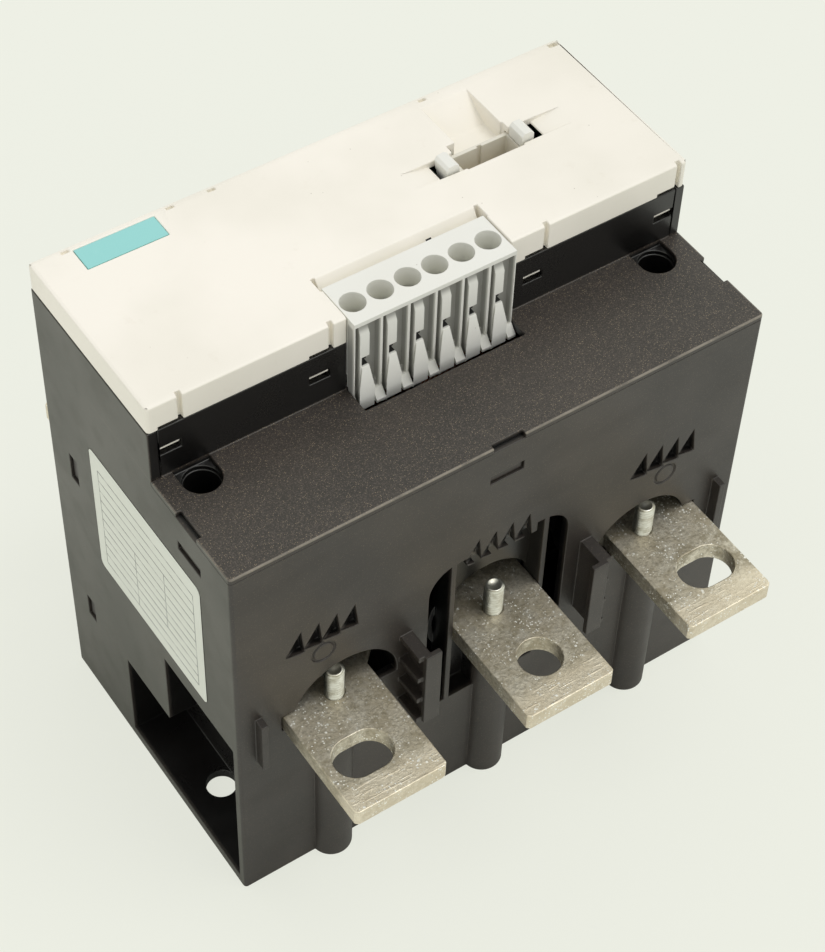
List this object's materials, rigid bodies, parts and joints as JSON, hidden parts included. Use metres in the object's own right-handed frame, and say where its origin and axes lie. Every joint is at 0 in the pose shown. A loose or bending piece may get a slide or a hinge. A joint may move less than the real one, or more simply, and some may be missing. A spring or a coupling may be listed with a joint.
{
  "type": "busbar current and voltage measuring module",
  "caption": "Black moulded housing with straight-through copper bars, a white cover, a grey plug-in screw terminal and a ribbon socket; measures current and voltage for a breaker.",
  "frame": {"origin": "middle of the base, on the surface that the module is screwed to", "axes": "+Z out of the front cover, +X across the poles to the right, +Y along the busbars away from the plug side"},
  "size_m": [0.145, 0.147, 0.1501],
  "materials": {
    "black_plastic": "moulded, fine texture with a faint sparkle",
    "cover_plastic": "moulded, semi-matt off-white",
    "plug_plastic": "moulded, satin pale grey",
    "socket_plastic": "moulded, beige grey",
    "plate_colour": "smooth teal inlay",
    "label_stock": "smooth pale label stock",
    "tinned_copper": "tinned copper, dull with handling marks",
    "zinc_steel": "zinc plated",
    "brass": "plain",
    "sleeve_plastic": "plain black",
    "core_iron": "wound strip",
    "winding": "enamelled wire under varnish",
    "cradle_plastic": "plain dark grey",
    "board_green": "solder resist",
    "component_black": "moulded",
    "contact_gold": "gold plated"
  },
  "bodies": {
    "module": {"base_housing": "black_plastic", "end_panel": "black_plastic", "terrace_cover": "black_plastic", "front_cover": "cover_plastic", "colour_plate": "plate_colour", "side_label": "label_stock", "left_busbar": "tinned_copper", "middle_busbar": "tinned_copper", "right_busbar": "tinned_copper", "busbar_studs": "zinc_steel", "left_tunnel_sleeve": "sleeve_plastic", "middle_tunnel_sleeve": "sleeve_plastic", "right_tunnel_sleeve": "sleeve_plastic", "left_transformer_core": "core_iron", "middle_transformer_core": "core_iron", "right_transformer_core": "core_iron", "left_transformer_coil": "winding", "middle_transformer_coil": "winding", "right_transformer_coil": "winding", "transformer_cradle": "cradle_plastic", "transformer_leads": "brass", "circuit_board": "board_green", "board_components": "component_black", "ribbon_socket": "socket_plastic", "ribbon_pins": "contact_gold", "ejector_pivots": "zinc_steel", "plug_header": "plug_plastic", "header_pins": "zinc_steel"},
    "plug": {"terminal_plug": "plug_plastic", "plug_contacts": "brass"},
    "left_latch": {"left_ejector": "plug_plastic"},
    "right_latch": {"right_ejector": "plug_plastic"},
    "screw_1": {"clamp_screw_1": "zinc_steel"},
    "cage_1": {"clamp_cage_1": "brass"},
    "screw_2": {"clamp_screw_2": "zinc_steel"},
    "cage_2": {"clamp_cage_2": "brass"},
    "screw_3": {"clamp_screw_3": "zinc_steel"},
    "cage_3": {"clamp_cage_3": "brass"},
    "screw_4": {"clamp_screw_4": "zinc_steel"},
    "cage_4": {"clamp_cage_4": "brass"},
    "screw_5": {"clamp_screw_5": "zinc_steel"},
    "cage_5": {"clamp_cage_5": "brass"},
    "screw_6": {"clamp_screw_6": "zinc_steel"},
    "cage_6": {"clamp_cage_6": "brass"}
  },
  "joints": [
    {"name": "plug_pull", "type": "slide", "parent": "module", "child": "plug", "axis": [0, 0, 1], "range_m": [0, 0.03]},
    {"name": "left_latch_hinge", "type": "hinge", "parent": "module", "child": "left_latch", "pos_m": [0.0253, 0.0186, 0.1336], "axis": [0, -1, 0], "range_deg": [-8, 3]},
    {"name": "right_latch_hinge", "type": "hinge", "parent": "module", "child": "right_latch", "pos_m": [0.0457, 0.0186, 0.1336], "axis": [0, 1, 0], "range_deg": [0, 11]},
    {"name": "cage_1_lift", "type": "slide", "parent": "plug", "child": "cage_1", "axis": [0, 0, 1], "range_m": [0, 0.0018]},
    {"name": "screw_1_turn", "type": "hinge", "parent": "plug", "child": "screw_1", "pos_m": [-0.01812, -0.0061, 0.1408], "axis": [0, 0, -1], "range_deg": [0, 1440.1]},
    {"name": "cage_2_lift", "type": "slide", "parent": "plug", "child": "cage_2", "axis": [0, 0, 1], "range_m": [0, 0.0018]},
    {"name": "screw_2_turn", "type": "hinge", "parent": "plug", "child": "screw_2", "pos_m": [-0.01087, -0.0061, 0.1408], "axis": [0, 0, -1], "range_deg": [0, 1440.1]},
    {"name": "cage_3_lift", "type": "slide", "parent": "plug", "child": "cage_3", "axis": [0, 0, 1], "range_m": [0, 0.0018]},
    {"name": "screw_3_turn", "type": "hinge", "parent": "plug", "child": "screw_3", "pos_m": [-0.00363, -0.0061, 0.1408], "axis": [0, 0, -1], "range_deg": [0, 1440.1]},
    {"name": "cage_4_lift", "type": "slide", "parent": "plug", "child": "cage_4", "axis": [0, 0, 1], "range_m": [0, 0.0018]},
    {"name": "screw_4_turn", "type": "hinge", "parent": "plug", "child": "screw_4", "pos_m": [0.00363, -0.0061, 0.1408], "axis": [0, 0, -1], "range_deg": [0, 1440.1]},
    {"name": "cage_5_lift", "type": "slide", "parent": "plug", "child": "cage_5", "axis": [0, 0, 1], "range_m": [0, 0.0018]},
    {"name": "screw_5_turn", "type": "hinge", "parent": "plug", "child": "screw_5", "pos_m": [0.01087, -0.0061, 0.1408], "axis": [0, 0, -1], "range_deg": [0, 1440.1]},
    {"name": "cage_6_lift", "type": "slide", "parent": "plug", "child": "cage_6", "axis": [0, 0, 1], "range_m": [0, 0.0018]},
    {"name": "screw_6_turn", "type": "hinge", "parent": "plug", "child": "screw_6", "pos_m": [0.01812, -0.0061, 0.1408], "axis": [0, 0, -1], "range_deg": [0, 1440.1]}
  ],
  "couplings": [
    {"joint": "screw_1_turn", "follows": "cage_1_lift", "rad_per_m": 13963},
    {"joint": "screw_2_turn", "follows": "cage_2_lift", "rad_per_m": 13963},
    {"joint": "screw_3_turn", "follows": "cage_3_lift", "rad_per_m": 13963},
    {"joint": "screw_4_turn", "follows": "cage_4_lift", "rad_per_m": 13963},
    {"joint": "screw_5_turn", "follows": "cage_5_lift", "rad_per_m": 13963},
    {"joint": "screw_6_turn", "follows": "cage_6_lift", "rad_per_m": 13963}
  ]
}
